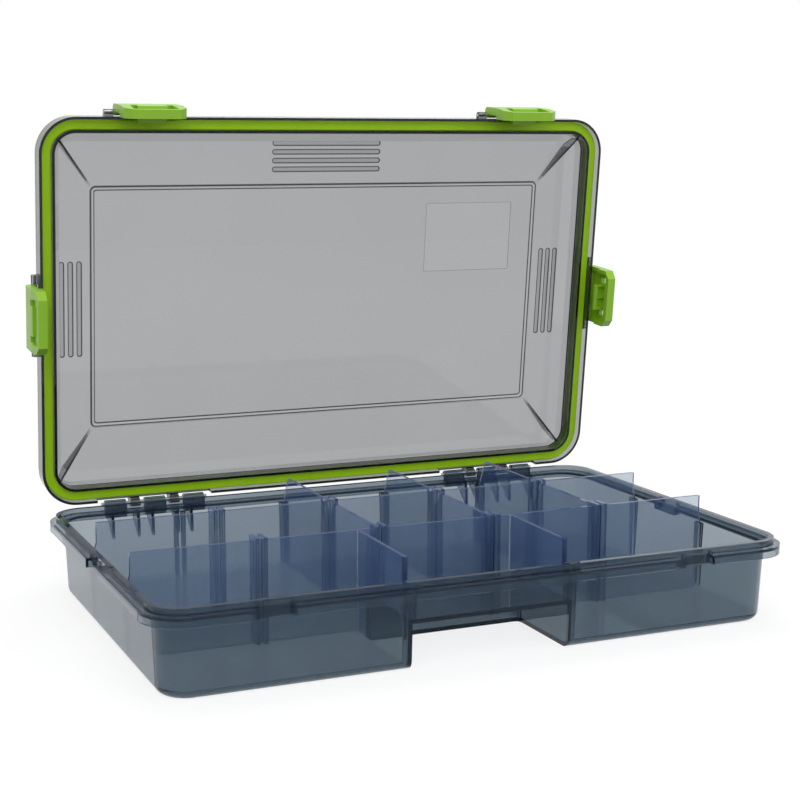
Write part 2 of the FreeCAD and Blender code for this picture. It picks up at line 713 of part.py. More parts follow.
def lid_inside():
    """The room under the lid: gasket channel, lip and crown, with the corner fins left standing."""
    body = new_body("lid_inside")
    depth = named("channel_depth")
    skirt = named("skirt_wall")
    channel = new_sketch(body, "channel_line", level=rim - PAST)
    outline_rectangle(channel, half_length - skirt, half_depth - skirt, corner - skirt)
    pad(body, channel, depth + PAST)
    lip = new_sketch(body, "lip_line", level=rim + depth)
    outer = lip_outer_inset
    inner = lip_inner_inset
    outline_rectangle(lip, half_length - outer, half_depth - outer, corner - outer)
    outline_rectangle(lip, half_length - inner, half_depth - inner, corner - inner)
    pocket(body, lip, depth - named("lip_setback"))

    crown = new_sketch(body, "crown_room", level=rim + depth)
    outline_rectangle(crown, half_length - inner, half_depth - inner, corner - inner)
    pad(body, crown, named("crown_height") - depth, taper=-named("crown_draft"))
    ceiling = rim + named("crown_height")
    dress(body, "Chamfer", named("crown_bevel"), flat_at("Z", ceiling.number))
    panel = new_sketch(body, "panel_room", level=ceiling)
    outline_rectangle(panel, panel_x, panel_y, named("panel_corner"))
    pad(body, panel, named("panel_rise"), taper=-named("panel_slope"))
    corner_fins(body, ceiling)
    return body


# The way a fin runs from the panel's corner, along X and along Y, and half a right angle's sine
FIN_ALONG = (0.6, 0.8)
HALF_TURN = math.sqrt(0.5)


def corner_fins(body, ceiling):
    """Thin gussets from the lip in the corners of the crown towards the panel's corners."""
    run = named("fin_length")
    thick = named("fin_wall")
    inset = corner - (corner - lip_outer_inset - named("lip_wall") / 2) * HALF_TURN
    for x_sign in (-1, 1):
        for y_sign in (-1, 1):
            along = Vector(FIN_ALONG[0] * x_sign, FIN_ALONG[1] * y_sign, 0)
            normal = along.cross(Vector(0, 0, 1))
            tag = f"fin_{'left' if x_sign < 0 else 'right'}_{'front' if y_sign < 0 else 'rear'}"
            sketch = body.newObject("Sketcher::SketchObject", tag)
            sketch.AttachmentSupport = [(origin_plane(body, "XY_Plane"), "")]
            sketch.MapMode = "FlatFace"
            turn = Rotation(along, Vector(0, 0, 1), normal, "XYZ")
            sketch.AttachmentOffset = Placement(Vector(0, 0, 0), turn)
            x = (half_length - inset - run * FIN_ALONG[0]) * x_sign - thick / 2 * normal.x
            y = (half_depth - inset - run * FIN_ALONG[1]) * y_sign - thick / 2 * normal.y
            bind(sketch, "AttachmentOffset.Base.x", x)
            bind(sketch, "AttachmentOffset.Base.y", y)
            bind(sketch, "AttachmentOffset.Base.z", ceiling)
            outline_polygon(sketch, ((0, 0), (run, -named("fin_drop")), (run, PAST), (0, PAST)))
            pocket(body, sketch, thick, forwards=True)


def gasket():
    """The ring that fills the lid's channel."""
    body = new_body("gasket")
    play = named("gasket_play")
    outer = named("skirt_wall") + play
    inner = lip_outer_inset - play
    base = tongue_top + named("gasket_gap")
    ring = new_sketch(body, "gasket_line", level=base)
    outline_rectangle(ring, half_length - outer, half_depth - outer, corner - outer)
    outline_rectangle(ring, half_length - inner, half_depth - inner, corner - inner)
    pad(body, ring, rim + named("channel_depth") - base)
    dress(body, "Chamfer", named("gasket_bevel"), flat_at("Z", base.number))
    return body


# Latches, drawn round their own pin: x along it, y outwards and z up, with the plate square to the
# rim. A shut latch leans in, so what meets the tray is drawn turned back by that lean.
lean_sin = sine(named("latch_lean"))
lean_cos = cosine(named("latch_lean"))
hook_level = flange_bottom - named("hook_play") - latch_up


def leaned(out, up):
    """A point of the shut latch, given from its pin, in the latch's own frame."""
    return out * lean_cos - up * lean_sin, out * lean_sin + up * lean_cos


def under_flange(out):
    """Where a flat that lies level under the flange when shut stands in the latch's own frame."""
    return (hook_level + out * lean_sin) / lean_cos


def latch(name):
    """A snap latch: hollow plate on a barrel, with a hook that two windows let the mould form."""
    body = new_body(name)
    width = named("latch_width")
    barrel = named("barrel_radius")
    outer = named("latch_thickness") - barrel
    end = named("latch_length")
    taper = named("latch_taper")
    step = under_flange(-barrel)
    edge = (named("latch_play") - latch_out - step * lean_sin) / lean_cos
    profile = new_sketch(body, f"profile_{name}", "YZ_Plane", -width / 2)
    outline_polygon(profile, ((ZERO, barrel), (outer, barrel), (outer, -named("latch_bend")),
                              (outer - taper, -end), (-barrel, -end), (-barrel, step), (edge, step),
                              (edge, ZERO)))
    pad(body, profile, width)
    round_barrel = new_sketch(body, f"barrel_{name}", "YZ_Plane", -width / 2)
    outline_circle(round_barrel, barrel)
    pad(body, round_barrel, width)
    half = width.number / 2
    far = -end.number
    top = barrel.number
    front = outer.number

    def free_corner(edge):
        box = edge.BoundBox
        return box.YLength > 2 and box.XLength < 0.02 and box.ZLength < 0.02 and abs(box.ZMin - far) < 0.02

    def front_edge(edge):
        box = edge.BoundBox
        return box.XLength > half and abs(box.YMax - front) < 0.02 and abs(box.ZMin - top) < 0.02
    dress(body, "Chamfer", named("latch_corner"), free_corner)
    dress(body, "Fillet", named("latch_round"), front_edge)

    # XZ sketches look towards -Y, so a level there is a distance inwards
    floor = outer - named("latch_plate")
    side = width / 2 - named("latch_side")
    upper = -barrel - named("latch_bridge")
    lower = named("latch_end") - end
    hollow = new_sketch(body, f"hollow_{name}", "XZ_Plane", barrel)
    outline_polygon(hollow, box_points(-side, side, lower, upper))
    pocket(body, hollow, floor + barrel)

    hook_tip, tip_top = leaned(-named("hook_reach") - latch_out, hook_level)
    hook_top = under_flange(floor + PAST)
    hook_half = named("hook_width") / 2
    hook = new_sketch(body, f"hook_{name}", "YZ_Plane", -hook_half)
    root = hook_top - named("hook_root")
    bevel = named("hook_bevel")
    nose = tip_top - named("hook_tip")
    outline_polygon(hook, ((floor + PAST, hook_top), (hook_tip + bevel, under_flange(hook_tip + bevel)),
                           (hook_tip, tip_top - bevel),
                           (hook_tip, nose), (floor + PAST, root)))
    pad(body, hook, hook_half * 2)
    core = named("hook_core")
    cores = new_sketch(body, f"cores_{name}", "XZ_Plane", -hook_tip - core)
    windows = new_sketch(body, f"windows_{name}", "XZ_Plane", barrel + PAST)
    thin = named("hook_wall")
    near = hook_half + named("window_gap")
    wide = near + named("window_width")
    for hand in (-1, 1):
        outline_polygon(cores, box_points((thin / 2) * hand, (hook_half - thin) * hand, root - PAST, nose))
        outline_polygon(windows, box_points(near * hand, wide * hand, root + named("window_lift"), hook_top))
    pocket(body, cores, floor - hook_tip - core)
    pocket(body, windows, outer + (barrel + PAST) * 2)

    dish = new_sketch(body, f"dish_{name}", "XZ_Plane", -outer - PAST, shift_y=-named("dish_place"))
    dish_x = named("dish_width") / 2
    dish_y = named("dish_height") / 2
    outline_polygon(dish, box_points(-dish_x, dish_x, -dish_y, dish_y))
    pocket(body, dish, taper + PAST + named("dish_depth"), forwards=True)
    bore = new_sketch(body, f"bore_{name}", "YZ_Plane", -width)
    outline_circle(bore, named("latch_pin_radius") + named("pin_play"))
    pocket(body, bore, width * 2, forwards=True)
    return body


# Dividers
def slotted_divider(name, row):
    """A long divider with pairs of ribs on both faces that hold the cross dividers."""
    body = new_body(name)
    wall = named("tray_wall")
    plate = named("plate")
    low = tray_floor + named("lift_play")
    top = divider_top
    foot = wall_line(half_length, wall, low) - named("end_play")
    neck = wall_line(half_length, wall, slot_top) - named("end_play")
    upper = wall_line(half_length, wall, flange_bottom) - named("long_end_inset") / 2
    face = plate / 2 - row
    outline = new_sketch(body, f"outline_{name}", "XZ_Plane", face - plate)
    outline_polygon(outline, ((-foot, low), (foot, low), (neck, slot_top), (upper, shoulder),
                              (upper, top), (-upper, top), (-upper, shoulder), (-neck, slot_top)))
    pad(body, outline, plate)
    bottom = low.number

    def lower_corner(edge):
        box = edge.BoundBox
        return box.YLength > 1 and box.XLength < 0.02 and box.ZLength < 0.02 and abs(box.ZMin - bottom) < 0.02
    dress(body, "Fillet", named("divider_corner"), lower_corner)
    ribs = new_sketch(body, f"ribs_{name}", level=low)
    reach = plate / 2 + named("rib_reach")
    for slot in SLOTS:
        middle = named("slot_pitch") * slot
        for sign in (-1, 1):
            near = middle + (slot_gap / 2) * sign
            far = middle + rib_pair_half * sign
            outline_polygon(ribs, box_points(near, far, row - reach, row + reach))
    pad(body, ribs, top + named("rib_rise") - low)
    return body


def cross_divider(name, slot, start, end, inset):
    """A short divider that drops into a slot at each end."""
    body = new_body(name)
    plate = named("plate")
    low = tray_floor + named("lift_play")
    top = divider_top
    middle = named("slot_pitch") * slot
    outline = new_sketch(body, f"outline_{name}", "YZ_Plane", middle - plate / 2)
    outline_polygon(outline, ((start, low), (end, low), (end, slot_top), (end - inset, top),
                              (start + inset, top), (start, slot_top)))
    pad(body, outline, plate)
    bottom = low.number

    def lower_corner(edge):
        box = edge.BoundBox
        return box.XLength > 1 and box.YLength < 0.02 and box.ZLength < 0.02 and abs(box.ZMin - bottom) < 0.02
    dress(body, "Fillet", named("divider_corner"), lower_corner)
    return body


def front_divider(name, hand):
    """A plate that stands on the notch's housing, with a leg down behind it and a beaded edge."""
    body = new_body(name)
    wall = named("tray_wall")
    plate = named("plate")
    low = tray_floor + named("lift_play")
    over = raised_floor + named("lift_play")
    top = divider_top
    back = -named("front_row") - plate / 2 - named("lift_play")
    leg = wall - named("notch_back") + named("lift_play")
    foot = named("end_play") - wall_line(half_depth, wall, over)
    neck = named("end_play") - wall_line(half_depth, wall, slot_top)
    free = named("front_end_inset") - wall_line(half_depth, wall, flange_bottom)
    middle = (named("notch_half_width") + wall / 2) * hand
    outline = new_sketch(body, f"outline_{name}", "YZ_Plane", middle - plate / 2)
    outline_polygon(outline, ((foot, over), (leg, over), (leg, low), (back, low), (back, top),
                              (free, top), (free, shoulder), (neck, slot_top)))
    pad(body, outline, plate)
    bead_foot = slot_top + PAST
    bead = new_sketch(body, f"bead_{name}", level=bead_foot, shift_x=middle, shift_y=free)
    outline_circle(bead, named("bead_radius"))
    pad(body, bead, top - bead_foot)
    return body


# Pins
def pin(name, radius, length, place):
    """A plain round pin, laid along its own z."""
    rod = document.addObject("Part::Cylinder", name)
    rod.Label = name
    bind(rod, "Radius", radius)
    bind(rod, "Height", length)
    rod.Placement = place
    return rod


# The box put together
nodes = []
open_lid = Placement(Vector(0, 0, 0), Rotation(Vector(1, 0, 0), -named("open_angle").number),
                     Vector(0, hinge_y.number, hinge_z.number))
tray = cut("tray", tray_outside(), tray_inside())
lid = cut("lid", lid_outside(), lid_inside())
lid.Placement = open_lid
seal = gasket()
seal.Placement = open_lid
nodes.extend((tray, lid, seal))

ALONG_X = Rotation(Vector(0, 1, 0), 90)
for side, hand in zip(HINGE_SIDES, ("left", "right")):
    length = named("hinge_pin_length")
    start = named("hinge_x").number * side - length.number / 2
    place = Placement(Vector(start, hinge_y.number, hinge_z.number), ALONG_X)
    nodes.append(pin(f"hinge_pin_{hand}", named("hinge_pin_radius"), length, place))

latch_pin_length = named("latch_width") + (named("lug_play") + named("lug_length")) * 2
for station in LATCHES:
    name, quarter, x, y = station
    pivot_x, pivot_y = turned(station, ZERO, latch_out)
    seat = Placement(Vector(pivot_x.number, pivot_y.number, latch_up.number),
                     Rotation(Vector(0, 0, 1), 90 * quarter))
    piece = latch(f"latch_{name}")
    piece.Placement = open_lid * seat
    nodes.append(piece)
    lay = Placement(Vector(-latch_pin_length.number / 2, 0, 0), ALONG_X)
    rod = pin(f"latch_pin_{name}", named("latch_pin_radius"), latch_pin_length, open_lid * seat * lay)
    nodes.append(rod)

front_row = -named("front_row")
rear_row = named("rear_row")
gap = named("plate") / 2 + named("end_play")
rear_wall = wall_line(half_depth, named("tray_wall"), tray_floor) - named("end_play")
nodes.append(slotted_divider("long_divider_front", front_row))
nodes.append(slotted_divider("long_divider_rear", rear_row))
for slot, place in zip(SLOTS[1:], ("left", "middle", "right")):
    nodes.append(cross_divider(f"cross_divider_rear_{place}", slot, rear_row + gap, rear_wall,
                               named("rear_end_inset")))
    nodes.append(cross_divider(f"cross_divider_middle_{place}", slot, front_row + gap, rear_row - gap,
                               named("middle_end_inset")))
nodes.append(front_divider("front_divider_left", -1))
nodes.append(front_divider("front_divider_right", 1))
document.recompute()

# Check the whole document, then write one file for each piece
for item in document.Objects:
    if "Invalid" in item.State or "Error" in item.State:
        raise RuntimeError(f"{item.Label} failed: {item.State}")
for node in nodes:
    if node.Shape.isNull() or not node.Shape.isValid() or len(node.Shape.Solids) != 1:
        raise RuntimeError(f"{node.Label} is not one valid solid")
os.makedirs("parts", exist_ok=True)
for node in nodes:
    node.Shape.exportStep(f"parts/{node.Label}.step")
    box = node.Shape.BoundBox
    print(f"{node.Label}: {node.Shape.Volume:.0f} mm3, x {box.XMin:.1f} to {box.XMax:.1f},"
          f" y {box.YMin:.1f} to {box.YMax:.1f}, z {box.ZMin:.1f} to {box.ZMax:.1f}")
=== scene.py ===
# %% [markdown]
# # A waterproof lure box in clear smoke plastic
# The box comes as a fixed frame of solid pieces: a tray, a lid that stands open, a sealing ring,
# four snap latches on steel pins, two hinge pins and ten loose dividers. The shapes are right
# already, so this lesson is about finish: how a thin tinted wall, a soft green ring and a hard
# green latch take the light. The frame is loaded first.

import json
import math

import bpy
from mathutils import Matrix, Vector

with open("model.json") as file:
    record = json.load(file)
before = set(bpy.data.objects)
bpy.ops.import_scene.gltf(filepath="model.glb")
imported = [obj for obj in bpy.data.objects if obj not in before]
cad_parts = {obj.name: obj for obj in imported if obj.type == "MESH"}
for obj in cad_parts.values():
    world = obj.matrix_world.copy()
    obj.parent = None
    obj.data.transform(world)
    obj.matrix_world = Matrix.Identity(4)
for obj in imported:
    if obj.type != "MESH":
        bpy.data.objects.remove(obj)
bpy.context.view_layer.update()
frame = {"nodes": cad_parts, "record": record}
nodes = frame["nodes"]

# %% [markdown]
# ## Units and small helpers
# Everything is in metres, but plastic parts are thought of in millimetres, so one value turns
# millimetres into metres. Colours are written the way a paint chart gives them, as sRGB hex, and
# one function turns them into the linear numbers that the renderer adds up.

# %% Millimetres and colours
MM = 0.001


def colour(code):
    """Linear RGBA from an sRGB hex code."""
    parts = [int(code[i:i + 2], 16) / 255 for i in (1, 3, 5)]
    return [p / 12.92 if p <= 0.04045 else ((p + 0.055) / 1.055) ** 2.4 for p in parts] + [1.0]


print("mid grey #808080 is", round(colour("#808080")[0], 3), "in linear light")

# %% [markdown]
# ## Building a material
# A material is a small graph of nodes. It could be clicked together or written out link by link,
# but a few dozen nodes are easier to read when one function adds any of them: it takes the node's
# type, its own settings, and a value or a link for each input socket that matters. A socket is
# named, or given by its number after an underscore where several sockets share a name.

# %% One function that adds a node
def add_node(material, kind, settings=None, **inputs):
    """A node with its settings, each input either a value or the output socket that feeds it."""
    tree = material.node_tree
    node = tree.nodes.new(kind)
    for name, value in (settings or {}).items():
        setattr(node, name, value)
    for name, value in inputs.items():
        socket = node.inputs[int(name[1:])] if name[1:].isdigit() else node.inputs[name.replace("_", " ")]
        if isinstance(value, bpy.types.NodeSocket):
            tree.links.new(value, socket)
        else:
            socket.default_value = value
    return node


def new_material(name):
    """An empty material, and the shader output it ends in."""
    material = bpy.data.materials.new(name)
    material.use_nodes = True
    material.node_tree.nodes.clear()
    return material, add_node(material, "ShaderNodeOutputMaterial")


print("helpers:", add_node.__name__, new_material.__name__)

# %% [markdown]
# ## Painted shade on the lid's moulded edges
# On the real lid every small step of the moulding has round edges: the border of the raised
# panel, the finger ribs and the label pad. Such an edge bends the light away from the eye, so it
# shows as a thin dark line. Real rounds would need thousands of faces, so the shader paints these
# lines in as painted shade. It first turns a point of the open lid back to where it is when the lid
# is closed. There each outline is a rounded rectangle seen from above.

# %% From the open lid to the closed one
hinge = next(joint for joint in frame["record"]["behaviour"]["joints"] if joint["name"] == "lid_hinge")
_, HINGE_Y, HINGE_Z = hinge["pos_m"]
OPEN_ANGLE = math.radians(-hinge["range_deg"][0])
print("the lid turns", hinge["range_deg"], "degrees about y", HINGE_Y, "z", HINGE_Z)


def closed_place(material, place):
    """Where a point of the open lid is when the lid is closed."""
    sine, cosine = math.sin(OPEN_ANGLE), math.cos(OPEN_ANGLE)
    shift = (0, HINGE_Y - HINGE_Y * cosine + HINGE_Z * sine, HINGE_Z - HINGE_Y * sine - HINGE_Z * cosine)
    return add_node(material, "ShaderNodeMapping", None, Vector=place, Location=shift,
                    Rotation=(OPEN_ANGLE, 0, 0)).outputs[0]

# %% [markdown]
# ## Distance from a rounded rectangle
# A rounded rectangle is a smaller plain one, its core, grown by the corner radius on all sides.
# Folding the plan about the rectangle's middle leaves one quarter, and a few vector steps give the
# distance from the core there. Where that distance is the corner radius, the outline runs.

# %% Outline and inside of a rounded rectangle
ANY_HEIGHT = 1.0  # metres: the core is so tall that height never counts


def beyond_core(material, plan, middle, half, corner):
    """Distance from the core of a rounded rectangle; its sizes are in mm, the distance in metres."""
    centre = (middle[0] * MM, middle[1] * MM, 0)
    reach = ((half[0] - corner) * MM, (half[1] - corner) * MM, ANY_HEIGHT)
    moved = add_node(material, "ShaderNodeVectorMath", {"operation": "SUBTRACT"}, _0=plan, _1=centre)
    folded = add_node(material, "ShaderNodeVectorMath", {"operation": "ABSOLUTE"}, _0=moved.outputs[0])
    past = add_node(material, "ShaderNodeVectorMath", {"operation": "SUBTRACT"}, _0=folded.outputs[0],
                    _1=reach)
    beyond = add_node(material, "ShaderNodeVectorMath", {"operation": "MAXIMUM"}, _0=past.outputs[0],
                      _1=(0, 0, 0))
    far = add_node(material, "ShaderNodeVectorMath", {"operation": "LENGTH"}, _0=beyond.outputs[0])
    return far.outputs["Value"]


def outline(material, plan, middle, half, corner, width, strength=1.0):
    """The strength given on the outline of a rounded rectangle, and 0 away from it, with soft edges."""
    far = beyond_core(material, plan, middle, half, corner)
    off = add_node(material, "ShaderNodeMath", {"operation": "SUBTRACT"}, _0=far, _1=corner * MM)
    near = add_node(material, "ShaderNodeMath", {"operation": "ABSOLUTE"}, _0=off.outputs[0])
    return add_node(material, "ShaderNodeMapRange", {"interpolation_type": "SMOOTHSTEP"}, _0=near.outputs[0],
                    _1=0.2 * width * MM, _2=0.8 * width * MM, _3=strength, _4=0.0).outputs[0]


def pad_face(material, plan, middle, half, corner, strength):
    """The strength given inside a rounded rectangle, and 0 outside it."""
    far = beyond_core(material, plan, middle, half, corner)
    inside = add_node(material, "ShaderNodeMath", {"operation": "LESS_THAN"}, _0=far, _1=corner * MM)
    return add_node(material, "ShaderNodeMath", {"operation": "MULTIPLY"}, _0=inside.outputs[0],
                    _1=strength).outputs[0]


print("outline helpers:", ", ".join(helper.__name__ for helper in (beyond_core, outline, pad_face)))

# %% [markdown]
# ## Where shade and reflection are painted
# The panel's border is a slope about 2 mm wide, so it has two lines. Four ribs lie on the front margin
# and three on each end margin, 5.2 mm apart. Both ends are alike, so they share one set, folded
# about the middle. The label pad is sunk, so the wall there is thinner and would look paler than it
# does, and a light tint over the pad makes up for that. Lines and tint lie on the outer face alone.
# The thin fins in the corners are the only plastic within the lid's inner walls and under its
# ceiling. Their sides are seen nearly edge on and mirror the dark ring, so a painted reflection of
# that ring darkens them.
# The painted shade lines could also be grooves in the mesh, but the frame's shapes stay as they are.

# %% Places of panel, ribs, label pad and fins, in mm
BOX_CENTRE = (0, 0)
PANEL_X, PANEL_Y, PANEL_CORNER = 146.2, 71.5, 3.2
BORDER_SLOPE, INNER_CORNER = 2.2, 1.8
RIB_HALF, RIB_PITCH = 1.35, 5.2
FRONT_RIBS, FRONT_RIB_HALF, FRONT_RIB_EDGE = 4, 35.0, 9.0
END_RIBS, END_RIB_HALF, END_RIB_EDGE = 3, 28.0, 6.7
LABEL_MIDDLE, LABEL_HALF, LABEL_CORNER = (PANEL_X - 47.2, 34.5 - PANEL_Y), (30.0, 21.5), 0.8
OUTER_FACE_Z = 64.2
INNER_ROOM, INNER_ROOM_CORNER, INNER_ROOM_TOP = (166.0, 98.5), 12.0, 61.4
BORDER_LINE, RIB_LINE, LABEL_LINE = 0.9, 0.7, 0.5
# The fins' share below is a painted reflection of the dark ring.
LABEL_LINE_STRENGTH, LABEL_TINT, FIN_PAINTED_REFLECTION = 0.5, 0.15, 0.6  # shares of the line's colour
print("panel", 2 * PANEL_X, "x", 2 * PANEL_Y, "mm, ribs", FRONT_RIBS, "+ 2 x", END_RIBS)

# %% [markdown]
# ## One mask for the lid's painted shade
# The strongest of all painted lines wins at each point, so crossing lines don't add up. Height above
# the closed rim then tells the outer face, which carries the painted shade, from the room inside with
# the fins and their painted reflection.

# %% Painted shade and reflection of the lid
def lid_painted_shade_and_reflection(material, place):
    """How strongly painted shade, and on the fins a painted reflection, shows at each point of the lid."""
    plan = closed_place(material, place)
    folded = add_node(material, "ShaderNodeVectorMath", {"operation": "ABSOLUTE"}, _0=plan).outputs[0]
    # Painted shade lines on the panel's border, the label pad's edge and the ribs, and the pad's tint.
    lines = [
        outline(material, plan, BOX_CENTRE, (PANEL_X, PANEL_Y), PANEL_CORNER, BORDER_LINE),
        outline(material, plan, BOX_CENTRE, (PANEL_X - BORDER_SLOPE, PANEL_Y - BORDER_SLOPE),
                INNER_CORNER, BORDER_LINE),
        outline(material, plan, LABEL_MIDDLE, LABEL_HALF, LABEL_CORNER, LABEL_LINE, LABEL_LINE_STRENGTH),
        pad_face(material, plan, LABEL_MIDDLE, LABEL_HALF, LABEL_CORNER, LABEL_TINT),
    ]
    for index in range(FRONT_RIBS):
        middle = (0, -PANEL_Y - FRONT_RIB_EDGE - RIB_PITCH * index)
        lines.append(outline(material, plan, middle, (FRONT_RIB_HALF, RIB_HALF), RIB_HALF, RIB_LINE))
    for index in range(END_RIBS):
        middle = (PANEL_X + END_RIB_EDGE + RIB_PITCH * index, 0)
        lines.append(outline(material, folded, middle, (RIB_HALF, END_RIB_HALF), RIB_HALF, RIB_LINE))
    total = lines[0]
    for line in lines[1:]:
        total = add_node(material, "ShaderNodeMath", {"operation": "MAXIMUM"}, _0=total, _1=line).outputs[0]
    height = add_node(material, "ShaderNodeSeparateXYZ", None, _0=plan).outputs["Z"]
    outside = add_node(material, "ShaderNodeMath", {"operation": "GREATER_THAN"}, _0=height,
                       _1=OUTER_FACE_Z * MM)
    drawn = add_node(material, "ShaderNodeMath", {"operation": "MULTIPLY"}, _0=total, _1=outside.outputs[0])
    low = add_node(material, "ShaderNodeMath", {"operation": "LESS_THAN"}, _0=height, _1=INNER_ROOM_TOP * MM)
    # Below the ceiling, inside the walls, the fins are darkened by a painted reflection of the dark ring.
    room = pad_face(material, plan, BOX_CENTRE, INNER_ROOM, INNER_ROOM_CORNER, FIN_PAINTED_REFLECTION)
    fin_painted_reflection = add_node(material, "ShaderNodeMath", {"operation": "MULTIPLY"}, _0=room, _1=low.outputs[0])
    return add_node(material, "ShaderNodeMath", {"operation": "MAXIMUM"}, _0=drawn.outputs[0],
                    _1=fin_painted_reflection.outputs[0]).outputs[0]


print("the lid's lines and fins are one mask:", lid_painted_shade_and_reflection.__name__)

# %% [markdown]
# ## Smoke polycarbonate
# Tray, lid and dividers are injection-moulded clear polycarbonate with a grey dye, a little
# greener and bluer in the tray than in the lid. One 2 mm wall lets somewhat less than half of the
# light through, and a wall seen edge on is nearly black, because light travels through the dye
# for longer. So almost all of the tint is absorption inside the solid, per metre of path, and the
# surfaces are nearly white. Absorption alone would turn the insides black where five walls lie
# behind one another, and the photograph shows them navy, from bluish light that the walls reflect.
# A weak bluish sheen and a bluish tint on the reflections paint that reflected light in, mostly on
# the dividers. The surfaces are polished but not optical: the melt leaves soft waves, some 25 mm
# long, a faint ripple of 4 mm and clouds of 60 mm in which the tint drifts between two near whites.
# A lamp's ray would stop at a glass shader, so for shadow rays alone a tinted transparent
# shader stands in, and the pieces behind the plastic stay lit.

# %% Smoke polycarbonate
POLYCARBONATE_IOR = 1.585
# Near black of the painted shade on the lid's edges and of the fins' painted reflection.
PAINTED_DARK_COLOUR = colour("#15171A")
# Bluish colour of the painted sheen, which stands in for reflected bluish light.
PAINTED_SHEEN_COLOUR = colour("#4A74C4")
SHADOW_TINT = colour("#B9BEC4")


def smoke_plastic(name, pale, deep, dye, dye_per_m, gloss, painted_sheen, roughness, haze, painted_darkening=None):
    """Clear tinted plastic: surface tint between two shades, painted shade where a mask is given, absorption
    inside and moulding waves.
    """
    material, output = new_material(name)
    place = add_node(material, "ShaderNodeTexCoord").outputs["Object"]
    cloud = add_node(material, "ShaderNodeTexNoise", None, Vector=place, Scale=1 / (60.0 * MM), Detail=3.0)
    tint = add_node(material, "ShaderNodeMix", {"data_type": "RGBA"}, _0=cloud.outputs["Fac"],
                    _6=colour(pale), _7=colour(deep))
    # Where a mask is given, painted shade darkens the surface tint towards the near black.
    if painted_darkening:
        tint = add_node(material, "ShaderNodeMix", {"data_type": "RGBA"}, _0=painted_darkening(material, place),
                        _6=tint.outputs[2], _7=PAINTED_DARK_COLOUR)
    upright = add_node(material, "ShaderNodeMapping", None, Vector=place, Scale=(1, 1, 0.5))
    waves = add_node(material, "ShaderNodeTexNoise", None, Vector=upright.outputs[0], Scale=1 / (25.0 * MM),
                     Detail=1.0)
    peel = add_node(material, "ShaderNodeTexNoise", None, Vector=place, Scale=1 / (4.0 * MM), Detail=1.0)
    soft = add_node(material, "ShaderNodeBump", None, Strength=0.03, Distance=1.0 * MM,
                    Height=waves.outputs["Fac"])
    skin = add_node(material, "ShaderNodeBump", None, Strength=0.02, Distance=0.05 * MM,
                    Height=peel.outputs["Fac"], Normal=soft.outputs[0])
    # The bluish reflection tint (gloss) and the sheen paint in reflected bluish light; the lid has no sheen.
    body = add_node(material, "ShaderNodeBsdfPrincipled", None, Base_Color=tint.outputs[2],
                    Roughness=roughness, IOR=POLYCARBONATE_IOR, Transmission_Weight=1.0 - haze,
                    Specular_Tint=colour(gloss), Sheen_Weight=painted_sheen, Sheen_Roughness=0.9,
                    Sheen_Tint=PAINTED_SHEEN_COLOUR, Normal=skin.outputs[0])
    through = add_node(material, "ShaderNodeBsdfTransparent", None, Color=SHADOW_TINT)
    path = add_node(material, "ShaderNodeLightPath")
    mixed = add_node(material, "ShaderNodeMixShader", None, _0=path.outputs["Is Shadow Ray"],
                     _1=body.outputs[0], _2=through.outputs[0])
    inside = add_node(material, "ShaderNodeVolumeAbsorption", None, Color=colour(dye), Density=dye_per_m)
    material.node_tree.links.new(mixed.outputs[0], output.inputs["Surface"])
    material.node_tree.links.new(inside.outputs[0], output.inputs["Volume"])
    return material


tray_smoke = smoke_plastic(
    "smoke_polycarbonate_tray", pale="#F0F3F3", deep="#E8ECEE", dye="#4D778A", dye_per_m=450.0,
    gloss="#8FA8B8", painted_sheen=0.07, roughness=0.015, haze=0.01)
# The lid's tint carries painted shade on its moulded edges and a painted reflection on its fins.
lid_smoke = smoke_plastic(
    "smoke_polycarbonate_lid", pale="#F2F2F3", deep="#EAEBEC", dye="#3F4549", dye_per_m=405.0,
    gloss="#9EA3AA", painted_sheen=0.0, roughness=0.015, haze=0.01, painted_darkening=lid_painted_shade_and_reflection)
divider_smoke = smoke_plastic(
    "smoke_polycarbonate_divider", pale="#F0F3F2", deep="#E8ECEC", dye="#4C707F", dye_per_m=155.0,
    gloss="#8FA6D0", painted_sheen=0.36, roughness=0.03, haze=0.02)
print("plastic:", tray_smoke.name, lid_smoke.name, divider_smoke.name)

# %% [markdown]
# ## Silicone ring
# The ring that seals the box is lime silicone rubber, extruded and joined. It is matt with a dry
# bloom, and slightly uneven in colour, so its roughness is high and two greens are mixed by a
# soft noise of about 8 mm. A fine grain of 0.4 mm breaks up its highlight.

# %% Silicone rubber
def silicone(name, light, dark):
    """Matt rubber between two shades."""
    material, output = new_material(name)
    place = add_node(material, "ShaderNodeTexCoord").outputs["Object"]
    patch = add_node(material, "ShaderNodeTexNoise", None, Vector=place, Scale=1 / (8.0 * MM))
    tint = add_node(material, "ShaderNodeMix", {"data_type": "RGBA"}, _0=patch.outputs["Fac"],
                    _6=colour(light), _7=colour(dark))
    grain = add_node(material, "ShaderNodeTexNoise", None, Vector=place, Scale=1 / (0.4 * MM))
    skin = add_node(material, "ShaderNodeBump", None, Strength=0.25, Distance=0.1 * MM,
                    Height=grain.outputs["Fac"])
    body = add_node(material, "ShaderNodeBsdfPrincipled", None, Base_Color=tint.outputs[2], Roughness=0.55,
                    IOR=1.41, Normal=skin.outputs[0])
    material.node_tree.links.new(body.outputs[0], output.inputs["Surface"])
    return material


ring_silicone = silicone("lime_silicone_rubber", "#A9DB0A", "#9ACF08")
print("ring:", ring_silicone.name)

# %% [markdown]
# ## Latch plastic
# The latches take knocks and bend a little at each snap, so they are a tough opaque plastic,
# such as ABS, in the same lime green, which drifts between two shades over some 15 mm. A
# spark-eroded mould gives them a fine satin grain of about 0.5 mm, drawn a little coarser here
# than it is, so that it shows at all.

